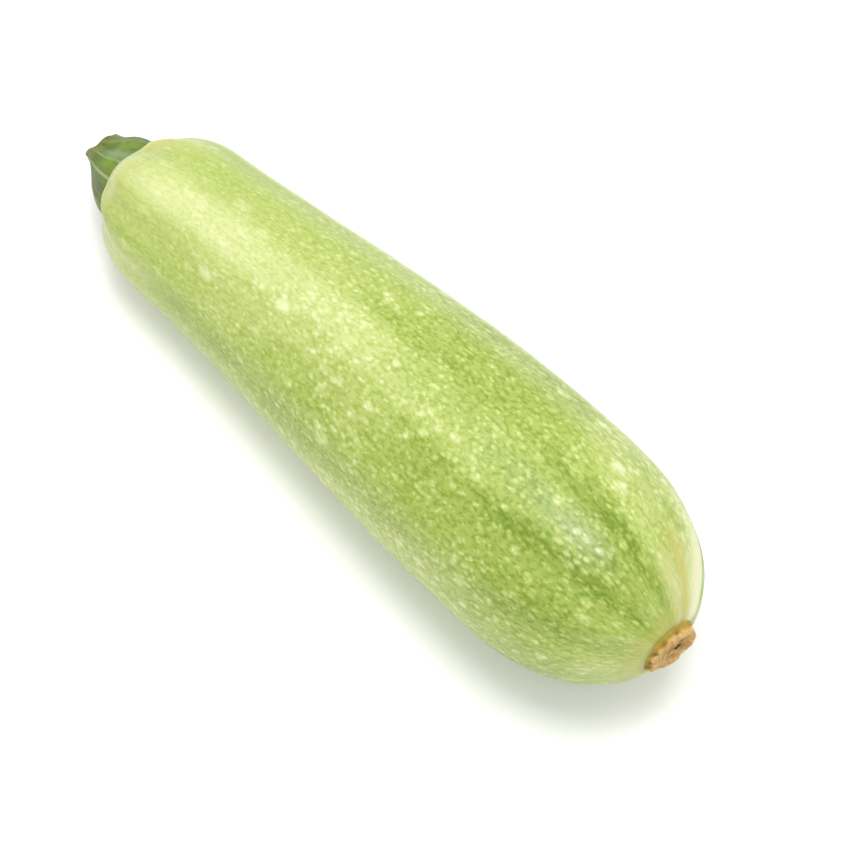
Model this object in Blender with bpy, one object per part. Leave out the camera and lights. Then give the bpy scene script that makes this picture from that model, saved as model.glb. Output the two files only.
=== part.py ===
"""A light-green zucchini, as picked: the ribbed fruit, its cut stem and the corky scar of its blossom.

It lies on a level surface at z = 0, along +X from the stem to the blossom end. Units are metres, +Z is up.
Each piece is modelled along its own +Z, and angles round it start at the underside and turn towards +Y.
"""

import math

import bmesh
import bpy
from mathutils import Vector

MM = 0.001

# The fruit, along its axis from the seat of the stem to the seat of the blossom scar
FRUIT_LENGTH = 191 * MM
NECK_RADIUS = 21.9 * MM
BELLY_RADIUS = 31.1 * MM
BELLY_FROM_STEM = 137 * MM
BEND = 2.45 * MM

# Its two rounded ends: length, how long each stays full, and how bluntly it meets its seat
SHOULDER_LENGTH = 18.3 * MM
SHOULDER_FULLNESS = 2.3
SHOULDER_BLUNTNESS = 1.08
DOME_LENGTH = 50.4 * MM
DOME_FULLNESS = 3.2
DOME_BLUNTNESS = 0.67

# The grooves between the ribs: angle at mid-length, its turn by the blossom end, and depth
GROOVES = (
    (25, 0, 0.30 * MM),
    (60, 4, 0.40 * MM),
    (95, 8, 0.35 * MM),
    (130, 12, 0.30 * MM),
    (165, 0, 0.50 * MM),
    (221, -24, 0.55 * MM),
    (255, -22, 0.35 * MM),
    (297, -6, 0.40 * MM),
    (335, 0, 0.30 * MM),
)
GROOVE_HALF_WIDTH = 11
GROOVE_TURNS_FROM = 0.70
GROOVES_DEEPER_AT_ENDS = 1.2
ENDS_REACH = 26 * MM
GROOVES_FADE_OVER = 4 * MM

# The ribs bulge towards the stem on the shoulder
LOBE_RISE = 1.8 * MM
LOBE_FROM_STEM = 5 * MM
LOBE_REACH = 6 * MM
LOBE_GAP_HALF_WIDTH = 18

# How it lies: the axis rises to the blossom end, and the underside is a little flattened where it rests
AXIS_RISE = 4.3
GROUND_FLATTENING = 0.7 * MM
GROUND_HALF_ANGLE = 32
GROUND_FROM_STEM = 105 * MM
GROUND_HALF_LENGTH = 50 * MM
REST_FACE_DEPTH = 0.40 * MM

# The stem: a flared foot, five main ribs that wind a little round it with a lesser one between each
# two, and a slanted cut
STEM_RIBS = 5
STEM_FOOT_RADIUS = 12.3 * MM
STEM_CUT_RADIUS = 5.0 * MM
STEM_LENGTH = 15.3 * MM
STEM_SWELL = 1.3
STEM_OFFSET = -0.5 * MM
STEM_LEAN = 2.0 * MM
STEM_CUT_SLOPE_DOWN = 0.38
STEM_CUT_SLOPE_SIDE = -0.13
STEM_MAIN_RIB_ANGLE = 233
STEM_TWIST = 32
STEM_FOOT_LOBES = 0.07
STEM_CUT_LOBES = 0.15
STEM_RIB_SHARPNESS = 1.5
STEM_LESSER_RIB = 0.55
STEM_LESSER_RIB_SHARPNESS = 3
STEM_SUNK = 0.9 * MM
STEM_SEAT_RADIUS = 13.4 * MM

# The blossom scar: a low corky ring with a lumpy rim and a pit in the middle. Its outline and its height
# go in and out in waves, given as the count round it, the share of the radius or height, and the phase
SCAR_RADIUS = 7.7 * MM
SCAR_FOOT_RADIUS = 6.6 * MM
SCAR_RIM_HEIGHT = 2.7 * MM
SCAR_HOLLOW_RADIUS = 3.7 * MM
SCAR_HOLLOW_HEIGHT = 1.7 * MM
SCAR_PIT_RADIUS = 1.5 * MM
SCAR_PIT_DEPTH = 1.3 * MM
SCAR_SUNK = 1.2 * MM
SCAR_SEAT_RADIUS = 7.5 * MM
SCAR_OUTLINE_WAVES = ((9, 0.035, -1.1), (4, 0.03, -1.75), (2, 0.02, -0.5))
SCAR_HEIGHT_WAVES = ((1, 0.18, -0.5), (5, 0.10, 0.8))

CLEARANCE = 0.3 * MM

SKIN_GREEN = (0.50, 0.63, 0.20)
SKIN_ROUGHNESS = 0.35
STEM_GREEN = (0.14, 0.22, 0.06)
STEM_ROUGHNESS = 0.6
CORK_TAN = (0.61, 0.35, 0.11)
CORK_ROUGHNESS = 0.8

# How finely each piece is divided
FRUIT_SIDES = 60
SHOULDER_RINGS = 10
TRUNK_RINGS = 22
DOME_RINGS = 12
STEM_SIDES = 50
STEM_RINGS = 12
SCAR_SIDES = 45
SHARP_ANGLE = 35


def smooth(t):
    t = min(max(t, 0.0), 1.0)
    return t * t * (3 - 2 * t)


def angle_between(a, b):
    """The turn from b to a, in degrees, between -180 and 180."""
    return (a - b + 180) % 360 - 180


def bell(distance, half_width):
    return math.exp(-((distance / half_width) ** 2))


def angles(sides):
    return [360 * i / sides for i in range(sides)]


def make_material(name, colour, roughness):
    material = bpy.data.materials.new(name)
    material.use_nodes = True
    shader = material.node_tree.nodes["Principled BSDF"]
    shader.inputs["Base Color"].default_value = (*colour, 1)
    shader.inputs["Roughness"].default_value = roughness
    return material


def loft(rings, first_pole, last_pole):
    """One closed body through rings with the same number of points, with a fan of triangles at each end."""
    bm = bmesh.new()
    rows = [[bm.verts.new(point) for point in ring] for ring in rings]
    sides = len(rows[0])
    for row, following in zip(rows, rows[1:]):
        for i in range(sides):
            j = (i + 1) % sides
            bm.faces.new((row[i], row[j], following[j], following[i]))
    for row, pole in ((rows[0], first_pole), (rows[-1], last_pole)):
        tip = bm.verts.new(pole)
        for i in range(sides):
            bm.faces.new((tip, row[i], row[(i + 1) % sides]))
    bmesh.ops.recalc_face_normals(bm, faces=bm.faces)
    return bm


def make_object(name, bm, material, parent):
    bmesh.ops.triangulate(bm, faces=bm.faces)
    mesh = bpy.data.meshes.new(name)
    bm.to_mesh(mesh)
    bm.free()
    mesh.shade_smooth()
    mesh.set_sharp_from_angle(angle=math.radians(SHARP_ANGLE))
    mesh.materials.append(material)
    obj = bpy.data.objects.new(name, mesh)
    obj.parent = parent
    bpy.context.scene.collection.objects.link(obj)
    return obj


def axis_slope(x):
    """How fast the bent axis moves towards +Y at x."""
    return -4 * BEND / FRUIT_LENGTH * (2 * x / FRUIT_LENGTH - 1)


def fruit_point(x, radius, angle, beyond=0.0):
    """A point round the bent axis, on the plane square to it at x, or that far beyond the plane."""
    slope = axis_slope(x)
    along = Vector((0, slope, 1)).normalized()
    across = Vector((0, 1, -slope)).normalized()
    middle = Vector((0, BEND * (1 - (2 * x / FRUIT_LENGTH - 1) ** 2), x))
    turn = math.radians(angle)
    out = Vector((math.cos(turn), 0, 0)) + math.sin(turn) * across
    return middle + beyond * along + radius * out


def trunk_radius(x):
    """The round body's radius: a slim neck, a full belly, and a rounded shoulder and dome at its ends."""
    radius = NECK_RADIUS + (BELLY_RADIUS - NECK_RADIUS) * smooth(x / BELLY_FROM_STEM)
    from_blossom = FRUIT_LENGTH - x
    if x < SHOULDER_LENGTH:
        full = max(0.0, 1 - (1 - x / SHOULDER_LENGTH) ** SHOULDER_FULLNESS)
        return STEM_SEAT_RADIUS + (radius - STEM_SEAT_RADIUS) * full**SHOULDER_BLUNTNESS
    if from_blossom < DOME_LENGTH:
        full = max(0.0, 1 - (1 - from_blossom / DOME_LENGTH) ** DOME_FULLNESS)
        return SCAR_SEAT_RADIUS + (radius - SCAR_SEAT_RADIUS) * full**DOME_BLUNTNESS
    return radius


def skin_radius(x, angle):
    """The trunk with its grooves, which fade out at the two seats, and its flattened underside."""
    from_end = min(x, FRUIT_LENGTH - x)
    depth_here = 1 + GROOVES_DEEPER_AT_ENDS * bell(from_end, ENDS_REACH)
    depth_here *= smooth(from_end / GROOVES_FADE_OVER)
    turned = smooth((x / FRUIT_LENGTH - GROOVE_TURNS_FROM) / (1 - GROOVE_TURNS_FROM))
    relief = 0.0
    for groove, turn, depth in GROOVES:
        away = angle_between(angle, groove + turn * turned)
        relief -= depth * bell(away, GROOVE_HALF_WIDTH)
    flat = bell(angle_between(angle, 0), GROUND_HALF_ANGLE)
    flat *= bell(x - GROUND_FROM_STEM, GROUND_HALF_LENGTH)
    return trunk_radius(x) + relief * depth_here - GROUND_FLATTENING * flat


def skin_point(x, angle):
    lobe = 1 - max(bell(angle_between(angle, groove), LOBE_GAP_HALF_WIDTH) for groove, _, _ in GROOVES)
    rise = LOBE_RISE * lobe * bell(x - LOBE_FROM_STEM, LOBE_REACH)
    return fruit_point(x, skin_radius(x, angle), angle, -rise)


def stem_outline(angle, t):
    """1 on the main ribs of the stem, less between them, with a lesser rib half way. t is 1 at the cut."""
    lobes = STEM_FOOT_LOBES + (STEM_CUT_LOBES - STEM_FOOT_LOBES) * smooth(t)
    turn = math.radians(STEM_RIBS * (angle - STEM_MAIN_RIB_ANGLE - STEM_TWIST * t))
    main = (0.5 + 0.5 * math.cos(turn)) ** STEM_RIB_SHARPNESS
    lesser = STEM_LESSER_RIB * (0.5 - 0.5 * math.cos(turn)) ** STEM_LESSER_RIB_SHARPNESS
    return 1 - lobes * (1 - main - lesser)


def wave(angle, count, share, phase):
    return share * math.cos(count * math.radians(angle) + phase)


def fruit_stations():
    """Places along the axis, closer together towards both ends."""
    quarter = math.pi / 2
    stations = [
        SHOULDER_LENGTH * (1 - math.cos(quarter * i / SHOULDER_RINGS)) for i in range(SHOULDER_RINGS)
    ]
    trunk = FRUIT_LENGTH - SHOULDER_LENGTH - DOME_LENGTH
    stations += [SHOULDER_LENGTH + trunk * i / TRUNK_RINGS for i in range(TRUNK_RINGS)]
    stations += [
        FRUIT_LENGTH - DOME_LENGTH * (1 - math.sin(quarter * i / DOME_RINGS)) for i in range(DOME_RINGS + 1)
    ]
    return stations


def make_fruit(pose):
    round_it = angles(FRUIT_SIDES)
    stem_floor = STEM_SUNK + CLEARANCE
    scar_floor = -SCAR_SUNK - CLEARANCE

    def stem_seat(beyond):
        radii = [STEM_FOOT_RADIUS * stem_outline(a, 0) + CLEARANCE for a in round_it]
        off_centre = Vector((0, STEM_OFFSET, 0))
        return [fruit_point(0, radius, a, beyond) + off_centre for radius, a in zip(radii, round_it)]

    def scar_seat(beyond):
        radius = SCAR_FOOT_RADIUS + CLEARANCE
        return [fruit_point(FRUIT_LENGTH, radius, a, beyond) for a in round_it]

    rings = [stem_seat(stem_floor), stem_seat(0)]
    rings += [[skin_point(x, a) for a in round_it] for x in fruit_stations()]
    rings += [scar_seat(0), scar_seat(scar_floor)]
    first = fruit_point(0, 0, 0, stem_floor)
    last = fruit_point(FRUIT_LENGTH, 0, 0, scar_floor)
    bm = loft(rings, first, last)
    cut_rest_face(bm, pose)
    skin = make_material("zucchini_skin", SKIN_GREEN, SKIN_ROUGHNESS)
    return make_object("fruit", bm, skin, pose)


def cut_rest_face(bm, pose):
    """Slices a thin cap off the underside, level with the surface that the fruit lies on."""
    turn = pose.rotation_euler.to_matrix()
    down = turn.inverted() @ Vector((0, 0, -1))
    lowest = max(down.dot(vert.co) for vert in bm.verts)
    on_plane = down * (lowest - REST_FACE_DEPTH)
    everything = bm.verts[:] + bm.edges[:] + bm.faces[:]
    sliced = bmesh.ops.bisect_plane(
        bm, geom=everything, plane_co=on_plane, plane_no=down, clear_outer=True
    )
    rim = [item for item in sliced["geom_cut"] if isinstance(item, bmesh.types.BMEdge)]
    bmesh.ops.contextual_create(bm, geom=rim)
    bmesh.ops.recalc_face_normals(bm, faces=bm.faces)


def make_stem(pose):
    """The stem stands away from the fruit, along its own -Z, and leans towards +Y."""
    round_it = angles(STEM_SIDES)

    def ring(t):
        radius = STEM_FOOT_RADIUS + (STEM_CUT_RADIUS - STEM_FOOT_RADIUS) * smooth(t**STEM_SWELL)
        points = []
        for angle in round_it:
            out = radius * stem_outline(angle, t)
            x = out * math.cos(math.radians(angle))
            y = out * math.sin(math.radians(angle))
            reach = STEM_LENGTH + STEM_CUT_SLOPE_DOWN * x + STEM_CUT_SLOPE_SIDE * y
            points.append((x, y + STEM_LEAN * t * t, -t * reach))
        return points

    foot = [(x, y, STEM_SUNK) for x, y, _ in ring(0)]
    rings = [foot] + [ring(i / STEM_RINGS) for i in range(STEM_RINGS + 1)]
    bm = loft(rings, (0, 0, STEM_SUNK), (0, STEM_LEAN, -STEM_LENGTH))
    green = make_material("zucchini_stem", STEM_GREEN, STEM_ROUGHNESS)
    stem = make_object("stem", bm, green, pose)
    stem.location.y = STEM_OFFSET
    stem.rotation_euler.x = -math.atan(axis_slope(0))
    return stem


def make_scar(pose):
    """The scar stands out of the fruit along its own +Z."""
    round_it = angles(SCAR_SIDES)

    def ring(radius, height, unevenness):
        points = []
        for angle in round_it:
            turn = math.radians(angle)
            out = radius * (1 + unevenness * sum(wave(angle, *each) for each in SCAR_OUTLINE_WAVES))
            lift = height * (1 + unevenness * sum(wave(angle, *each) for each in SCAR_HEIGHT_WAVES))
            points.append((out * math.cos(turn), out * math.sin(turn), lift))
        return points

    rings = [
        ring(SCAR_FOOT_RADIUS, -SCAR_SUNK, 0),
        ring(SCAR_FOOT_RADIUS, CLEARANCE, 0),
        ring(0.97 * SCAR_RADIUS, 0.35 * SCAR_RIM_HEIGHT, 1),
        ring(SCAR_RADIUS, 0.62 * SCAR_RIM_HEIGHT, 1),
        ring(0.95 * SCAR_RADIUS, 0.92 * SCAR_RIM_HEIGHT, 1),
        ring(0.84 * SCAR_RADIUS, SCAR_RIM_HEIGHT, 1),
        ring(0.70 * SCAR_RADIUS, 0.94 * SCAR_RIM_HEIGHT, 0.8),
        ring(SCAR_HOLLOW_RADIUS, SCAR_HOLLOW_HEIGHT, 0.6),
        ring(1.25 * SCAR_PIT_RADIUS, 0.92 * SCAR_HOLLOW_HEIGHT, 0.5),
        ring(SCAR_PIT_RADIUS, 0.6 * SCAR_HOLLOW_HEIGHT, 0.5),
        ring(0.6 * SCAR_PIT_RADIUS, SCAR_HOLLOW_HEIGHT - SCAR_PIT_DEPTH, 0.5),
    ]
    bm = loft(rings, (0, 0, -SCAR_SUNK), (0, 0, SCAR_HOLLOW_HEIGHT - SCAR_PIT_DEPTH))
    cork = make_material("blossom_scar_cork", CORK_TAN, CORK_ROUGHNESS)
    scar = make_object("blossom_scar", bm, cork, pose)
    scar.location.z = FRUIT_LENGTH
    scar.rotation_euler.x = -math.atan(axis_slope(FRUIT_LENGTH))
    return scar


def stand_on_surface(pose, pieces):
    """Moves the pose so that the lowest face lies at z = 0 and the middle of the box is over the origin."""
    bpy.context.view_layer.update()
    corners = [piece.matrix_world @ vert.co for piece in pieces for vert in piece.data.vertices]
    low = [min(corner[i] for corner in corners) for i in range(3)]
    high = [max(corner[i] for corner in corners) for i in range(3)]
    pose.location = (-(low[0] + high[0]) / 2, -(low[1] + high[1]) / 2, -low[2])
    bpy.context.view_layer.update()


for old in list(bpy.data.objects):
    bpy.data.objects.remove(old)

resting_pose = bpy.data.objects.new("resting_pose", None)
resting_pose.rotation_euler = (0, math.radians(90 - AXIS_RISE), 0)
bpy.context.scene.collection.objects.link(resting_pose)
made = [make_fruit(resting_pose), make_stem(resting_pose), make_scar(resting_pose)]
stand_on_surface(resting_pose, made)
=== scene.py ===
"""A light-green zucchini on a pale floor: its finished skin, stem and blossom scar over their solids."""

import math

import bmesh
import bpy
import numpy as np
from mathutils import Matrix, Vector
from mathutils.noise import noise as noise_at


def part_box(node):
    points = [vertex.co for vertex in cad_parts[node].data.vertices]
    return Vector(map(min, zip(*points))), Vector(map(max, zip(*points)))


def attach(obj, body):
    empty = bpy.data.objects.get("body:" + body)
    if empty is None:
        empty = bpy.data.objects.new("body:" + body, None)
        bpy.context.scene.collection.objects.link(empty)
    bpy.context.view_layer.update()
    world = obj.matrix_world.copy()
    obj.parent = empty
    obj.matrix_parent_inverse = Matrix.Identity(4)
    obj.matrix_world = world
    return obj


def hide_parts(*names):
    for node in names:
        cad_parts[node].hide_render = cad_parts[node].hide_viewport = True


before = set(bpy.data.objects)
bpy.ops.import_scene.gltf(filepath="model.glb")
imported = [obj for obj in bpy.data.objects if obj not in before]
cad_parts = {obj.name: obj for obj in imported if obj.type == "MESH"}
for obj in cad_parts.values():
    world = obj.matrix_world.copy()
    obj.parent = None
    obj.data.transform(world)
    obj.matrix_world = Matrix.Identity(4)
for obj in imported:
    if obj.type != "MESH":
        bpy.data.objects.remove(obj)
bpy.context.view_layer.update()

# The fruit: one grown body, slim at the neck and full towards the blossom end, with nine shallow grooves
# between its ribs. It lies on its side with the blossom end a little raised, and it has settled flat on
# the surface along a narrow strip. Here it grows along its own +Z, with its underside at +X.
MM = 0.001
FRUIT_LENGTH = 191 * MM
NECK_RADIUS = 21.9 * MM
BELLY_RADIUS = 31.1 * MM
BELLY_FROM_STEM = 137 * MM
BEND = 2.45 * MM
AXIS_RISE = 4.3
SHOULDER_LENGTH = 18.3 * MM
SHOULDER_FULLNESS = 2.3
SHOULDER_BLUNTNESS = 1.08
DOME_LENGTH = 50.4 * MM
DOME_FULLNESS = 3.2
DOME_BLUNTNESS = 0.67
STEM_SEAT_RADIUS = 13.4 * MM
SCAR_SEAT_RADIUS = 7.5 * MM

# Each groove's angle from the underside, its turn by the blossom end, and its depth
GROOVES = (
    (25, 0, 0.30 * MM),
    (60, 4, 0.40 * MM),
    (95, 8, 0.35 * MM),
    (130, 12, 0.30 * MM),
    (165, 0, 0.50 * MM),
    (221, -24, 0.55 * MM),
    (255, -22, 0.35 * MM),
    (297, -6, 0.40 * MM),
    (335, 0, 0.30 * MM),
)
GROOVE_HALF_WIDTH = 11
GROOVE_TURNS_FROM = 0.70
GROOVES_DEEPER_AT_ENDS = 1.2
ENDS_REACH = 26 * MM
GROOVES_FADE_OVER = 4 * MM
LOBE_RISE = 1.8 * MM
LOBE_FROM_STEM = 5 * MM
LOBE_REACH = 6 * MM
LOBE_GAP_HALF_WIDTH = 18
# One side of the shoulder is fuller, and stands higher beside the stem
FULL_SIDE_ANGLE = 216
FULL_SIDE_HALF_WIDTH = 27
FULL_SIDE_RISE = 1.8 * MM
FULL_SIDE_SWELL = 0.9 * MM
FULL_SIDE_FROM_STEM = 7 * MM
FULL_SIDE_REACH = 7 * MM

# Growth leaves low dents all over it, and fine puckers that run out of the scar
DENT_SIZE = 16 * MM
DENT_DEPTH = 0.22 * MM
PUCKER_COUNT = 23
PUCKER_DEPTH = 0.16 * MM
PUCKER_REACH = 9 * MM

FRUIT_SIDES = 270
FRUIT_RINGS = 340
SEAT_SHARE = 0.012
RINGS_CLOSER_AT_ENDS = 0.8


class Wire:
    """One socket of a node tree. Arithmetic on it adds Math nodes to its tree."""

    def __init__(self, bench, socket):
        self.bench = bench
        self.socket = socket

    def __add__(self, other):
        return maths("ADD", self, other)

    def __radd__(self, other):
        return maths("ADD", other, self)

    def __sub__(self, other):
        return maths("SUBTRACT", self, other)

    def __rsub__(self, other):
        return maths("SUBTRACT", other, self)

    def __mul__(self, other):
        return maths("MULTIPLY", self, other)

    def __rmul__(self, other):
        return maths("MULTIPLY", other, self)

    def __truediv__(self, other):
        return maths("DIVIDE", self, other)

    def __rtruediv__(self, other):
        return maths("DIVIDE", other, self)

    def __pow__(self, other):
        return maths("POWER", self, other)


class Bench:
    """A node tree being put together. add() takes a node's type, its settings, and what its sockets get."""

    def __init__(self, tree):
        self.tree = tree

    def add(self, kind, settings=None, sockets=None):
        node = self.tree.nodes.new(kind)
        for name, value in (settings or {}).items():
            if name == "stops":
                self.set_stops(node.color_ramp, value)
            else:
                setattr(node, name, value)
        for key, value in (sockets or {}).items():
            socket = self.pick(node.inputs, key)
            if isinstance(value, Wire):
                self.tree.links.new(value.socket, socket)
            else:
                socket.default_value = value
        return {key: Wire(self, out) for out in reversed(node.outputs) for key in (out.name, out.identifier)}

    def pick(self, sockets, key):
        if isinstance(key, int):
            return sockets[key]
        return next(socket for socket in sockets if key in (socket.identifier, socket.name))

    def set_stops(self, ramp, stops):
        while len(ramp.elements) < len(stops):
            ramp.elements.new(1.0)
        for element, (place, colour) in zip(ramp.elements, stops):
            element.position = place
            element.color = colour


def maths(operation, *values):
    bench = next(value.bench for value in values if isinstance(value, Wire))
    return bench.add("ShaderNodeMath", {"operation": operation}, dict(enumerate(values)))["Value"]


def step_up(value, low, high):
    """0 below low and 1 above high, with a smooth rise between them. It falls where low is above high."""
    sockets = {"Value": value, "From Min": low, "From Max": high}
    return value.bench.add("ShaderNodeMapRange", {"interpolation_type": "SMOOTHSTEP"}, sockets)["Result"]


def bell(distance, half_width):
    share = distance / half_width
    return maths("EXPONENT", share * share * -1)


def turn_from(angle, middle):
    """The turn from middle to angle, in degrees, between -180 and 180."""
    return maths("WRAP", angle - middle, 180, -180)


def combine(x, y, z):
    bench = next(value.bench for value in (x, y, z) if isinstance(value, Wire))
    return bench.add("ShaderNodeCombineXYZ", None, {"X": x, "Y": y, "Z": z})["Vector"]


def noise(place, scale, detail=2, roughness=0.5):
    """Even noise from 0 to 1 about 0.5, over a place in metres, with so many waves to the metre."""
    sockets = {"Vector": place, "Scale": scale, "Detail": detail, "Roughness": roughness}
    return place.bench.add("ShaderNodeTexNoise", None, sockets)["Fac"]


def groove_middle(angle, turn, x):
    return angle + turn * step_up(x / FRUIT_LENGTH, GROOVE_TURNS_FROM, 1)


def dome_at(from_scar, dome_length):
    """The share of its full width that the blossom end has there: 1 above the dome, 0 at the scar's seat."""
    left_of_dome = maths("MAXIMUM", 1 - from_scar / dome_length, 0)
    return maths("MAXIMUM", 1 - left_of_dome ** DOME_FULLNESS, 0) ** DOME_BLUNTNESS


def start_growth(name, sizes):
    """An empty Geometry Nodes tree with named inputs, its bench, and a wire for each input."""
    tree = bpy.data.node_groups.new(name, "GeometryNodeTree")
    for label, (kind, _) in sizes.items():
        tree.interface.new_socket(label, in_out="INPUT", socket_type=kind)
    tree.interface.new_socket("Mesh", in_out="OUTPUT", socket_type="NodeSocketGeometry")
    bench = Bench(tree)
    return tree, bench, bench.add("NodeGroupInput")


def rolled_grid(bench, rings, sides):
    """A sheet of rings by sides, which the shape rolls up, and each point's share along it and round it."""
    counts = {"Size X": 1, "Size Y": 1, "Vertices X": rings, "Vertices Y": sides}
    grid = bench.add("GeometryNodeMeshGrid", None, counts)
    position = bench.add("GeometryNodeInputPosition")["Position"]
    spot = bench.add("ShaderNodeSeparateXYZ", None, {"Vector": position})
    return grid["Mesh"], spot["X"] + 0.5, spot["Y"] + 0.5


MERGED_WITHIN = 0.002 * MM


def finish_growth(bench, sheet, places, marks, material):
    """Rolls the sheet up, keeps the marks on it for the material, and closes its seam and poles."""
    mesh = bench.add("GeometryNodeStoreNamedAttribute", {"data_type": "FLOAT_VECTOR", "domain": "POINT"},
                     {"Geometry": sheet, "Name": "marks", "Value": marks})["Geometry"]
    mesh = bench.add("GeometryNodeSetPosition", None, {"Geometry": mesh, "Position": places})["Geometry"]
    merged = {"Geometry": mesh, "Distance": MERGED_WITHIN}
    mesh = bench.add("GeometryNodeMergeByDistance", None, merged)["Geometry"]
    mesh = bench.add("GeometryNodeSetShadeSmooth", None, {"Geometry": mesh})["Geometry"]
    mesh = bench.add("GeometryNodeRealizeInstances", None, {"Geometry": mesh})["Geometry"]
    mesh = bench.add("GeometryNodeSetMaterial", None, {"Geometry": mesh, "Material": material})["Geometry"]
    bench.add("NodeGroupOutput", None, {"Mesh": mesh})


def grow(name, tree, sizes):
    """Runs a tree and keeps its result as a plain mesh."""
    obj = bpy.data.objects.new(name, bpy.data.meshes.new(name))
    bpy.context.scene.collection.objects.link(obj)
    modifier = obj.modifiers.new(name, "NODES")
    modifier.node_group = tree
    for item in tree.interface.items_tree:
        if item.in_out == "INPUT" and item.name in sizes:
            modifier[item.identifier] = sizes[item.name][1]
    depsgraph = bpy.context.evaluated_depsgraph_get()
    mesh = bpy.data.meshes.new_from_object(
        obj.evaluated_get(depsgraph), preserve_all_data_layers=True, depsgraph=depsgraph
    )
    obj.modifiers.remove(modifier)
    obj.data = mesh
    mesh.name = name
    return obj


def face_outwards(obj):
    """Turns a closed mesh the right way out."""
    mesh = obj.data
    mesh.calc_loop_triangles()
    corners = np.array([mesh.vertices[i].co for triangle in mesh.loop_triangles for i in triangle.vertices])
    corners = corners.reshape(-1, 3, 3)
    if np.einsum("ij,ij->i", corners[:, 0], np.cross(corners[:, 1], corners[:, 2])).sum() < 0:
        mesh.flip_normals()


# About how much brighter than its own colour the studio's light makes a surface that faces up
STUDIO_LIGHT = 1.30


def paint(red, green, blue):
    """A colour from the 0-255 screen values that it has in the studio's light."""
    linear = [((c / 255 + 0.055) / 1.055) ** 2.4 if c > 10 else c / 255 / 12.92 for c in (red, green, blue)]
    return (*(value / STUDIO_LIGHT for value in linear), 1)


def blend_colours(factor, first, second):
    sockets = {"Factor_Float": factor, "A_Color": first, "B_Color": second}
    return factor.bench.add("ShaderNodeMix", {"data_type": "RGBA"}, sockets)["Result_Color"]


def start_material(name):
    """A material with its Principled BSDF, its bench, and the marks that the mesh carries."""
    material = bpy.data.materials.new(name)
    material.use_nodes = True
    bench = Bench(material.node_tree)
    marks = bench.add("ShaderNodeAttribute", {"attribute_name": "marks"})["Vector"]
    spot = bench.add("ShaderNodeSeparateXYZ", None, {"Vector": marks})
    return material, bench, material.node_tree.nodes["Principled BSDF"], spot


# The skin's colours, from its palest ribs to the darkest dashes in its grooves
SKIN_TONES = (
    (0.00, paint(241, 246, 192)),
    (0.18, paint(227, 236, 164)),
    (0.36, paint(206, 220, 130)),
    (0.56, paint(177, 197, 88)),
    (0.80, paint(130, 158, 34)),
    (1.00, paint(106, 136, 22)),
)
TONE_ON_RAMP = 0.8

# Bands of colour, two of them painted shading: angle, turn by the blossom end, half width, where it starts
# and ends along the fruit in mm, and how much deeper (or paler, below 0) it makes the green
SKIN_BANDS_AND_PAINTED_SHADING = (
    (186, 0, 15, 4, 98, -0.14),
    (186, 0, 14, 4, 56, -0.14),
    (188, 0, 9, 128, 162, 0.10),
    (167, 3, 4.5, 78, 192, 0.08),
    (168, 3, 6.5, 144, 192, 0.09),
    (204, 0, 12, 2, 112, -0.10),
    (203, 0, 4.5, 20, 150, 0.08),
    (205, -4, 6.0, 144, 196, 0.21),
    (196, 0, 6, 100, 176, -0.10),
    (236, -6, 9, 96, 150, -0.05),
    (240, 0, 9, 0, 20, 0.14),
    # Painted shade: the near, lower side a little deeper green all along, and painted light: the far side a
    # little paler
    (250, 0, 18, 14, 190, 0.06),
    (120, 0, 18, 14, 190, -0.05),
    (212, 0, 8, 6, 34, 0.08),
    (212, 0, 8, 112, 150, 0.05),
    (190, 0, 12, 146, 182, 0.08),
    (184, 0, 9, 60, 100, -0.08),
    (252, -8, 8, 26, 128, 0.12),
    (127, 2, 8, 8, 160, 0.16),
    (158, 2, 7, 165, 192, -0.14),
    (172, 0, 8, 0, 10, 0.12),
    (224, -14, 12, 60, 182, 0.03),
    (144, 4, 13, 146, 186, -0.24),
    (153, 0, 9, 92, 134, 0.06),
    (137, 0, 7, 16, 60, 0.06),
    (124, 2, 8, 140, 178, -0.22),
    (118, 0, 10, 172, 200, -0.60),
    (150, 0, 16, 0, 12, -0.16),
    (247, -14, 9, 10, 30, -0.12),
    (262, -10, 15, 86, 190, -0.20),
    (262, 0, 14, 0, 24, -0.18),
    (295, -6, 7, 6, 188, 0.20),
    (330, 0, 7, 10, 186, 0.14),
    (312, 0, 11, 6, 150, -0.20),
    (25, 0, 7, 8, 188, 0.16),
    (357, 0, 14, 6, 150, -0.14),
    (60, 4, 7, 6, 188, 0.22),
    (42, 0, 10, 10, 160, -0.18),
    (95, 8, 8, 8, 188, 0.18),
    (78, 4, 10, 6, 150, -0.18),
    (112, 6, 8, 6, 150, -0.10),
)
# How far a band's ends fade, in mm, and how far the bands wander from side to side, in degrees
BAND_FADES_IN = 12
BAND_FADES_OUT = 10
BAND_DRAWN_IN = 14
BAND_WANDER = 10

# Pale flecks of four sizes: their spacing, greatest radius, share of the places that have one, and softness
FINE_FLECKS = (1.3 * MM, 0.62 * MM, 0.80, 0.70)
SMALL_FLECKS = (2.1 * MM, 0.85 * MM, 0.60, 0.60)
MIDDLING_FLECKS = (4.1 * MM, 1.2 * MM, 0.75, 0.45)
LARGE_FLECKS = (7.2 * MM, 1.9 * MM, 0.85, 0.50)
FLECK_SCATTER = 0.95
FLECK_SWAY = 1.1 * MM

# The radius at which the skin's pattern is laid out, and how far the dome's rounding adds to its length
PATTERN_RADIUS = 26 * MM
PATTERN_ON_DOME = 10 * MM
PATTERN_SLOWS_FROM = 150 * MM
PATTERN_SLOWS_BY = 0.12

# Colours that lie over the green at the shoulder and beside the scar
SHOULDER_YELLOW = paint(214, 208, 104)
SHOULDER_CREAM = paint(232, 230, 182)
# A painted highlight: a pale line round the rim of the stem's seat
SEAT_RIM_HIGHLIGHT_GREEN = paint(222, 232, 160)
NEAR_SCAR_GREEN = paint(200, 200, 88)
NEAR_SCAR_GAP_ANGLE = 118
SCAR_EDGE_GOLD = paint(180, 172, 68)
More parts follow.
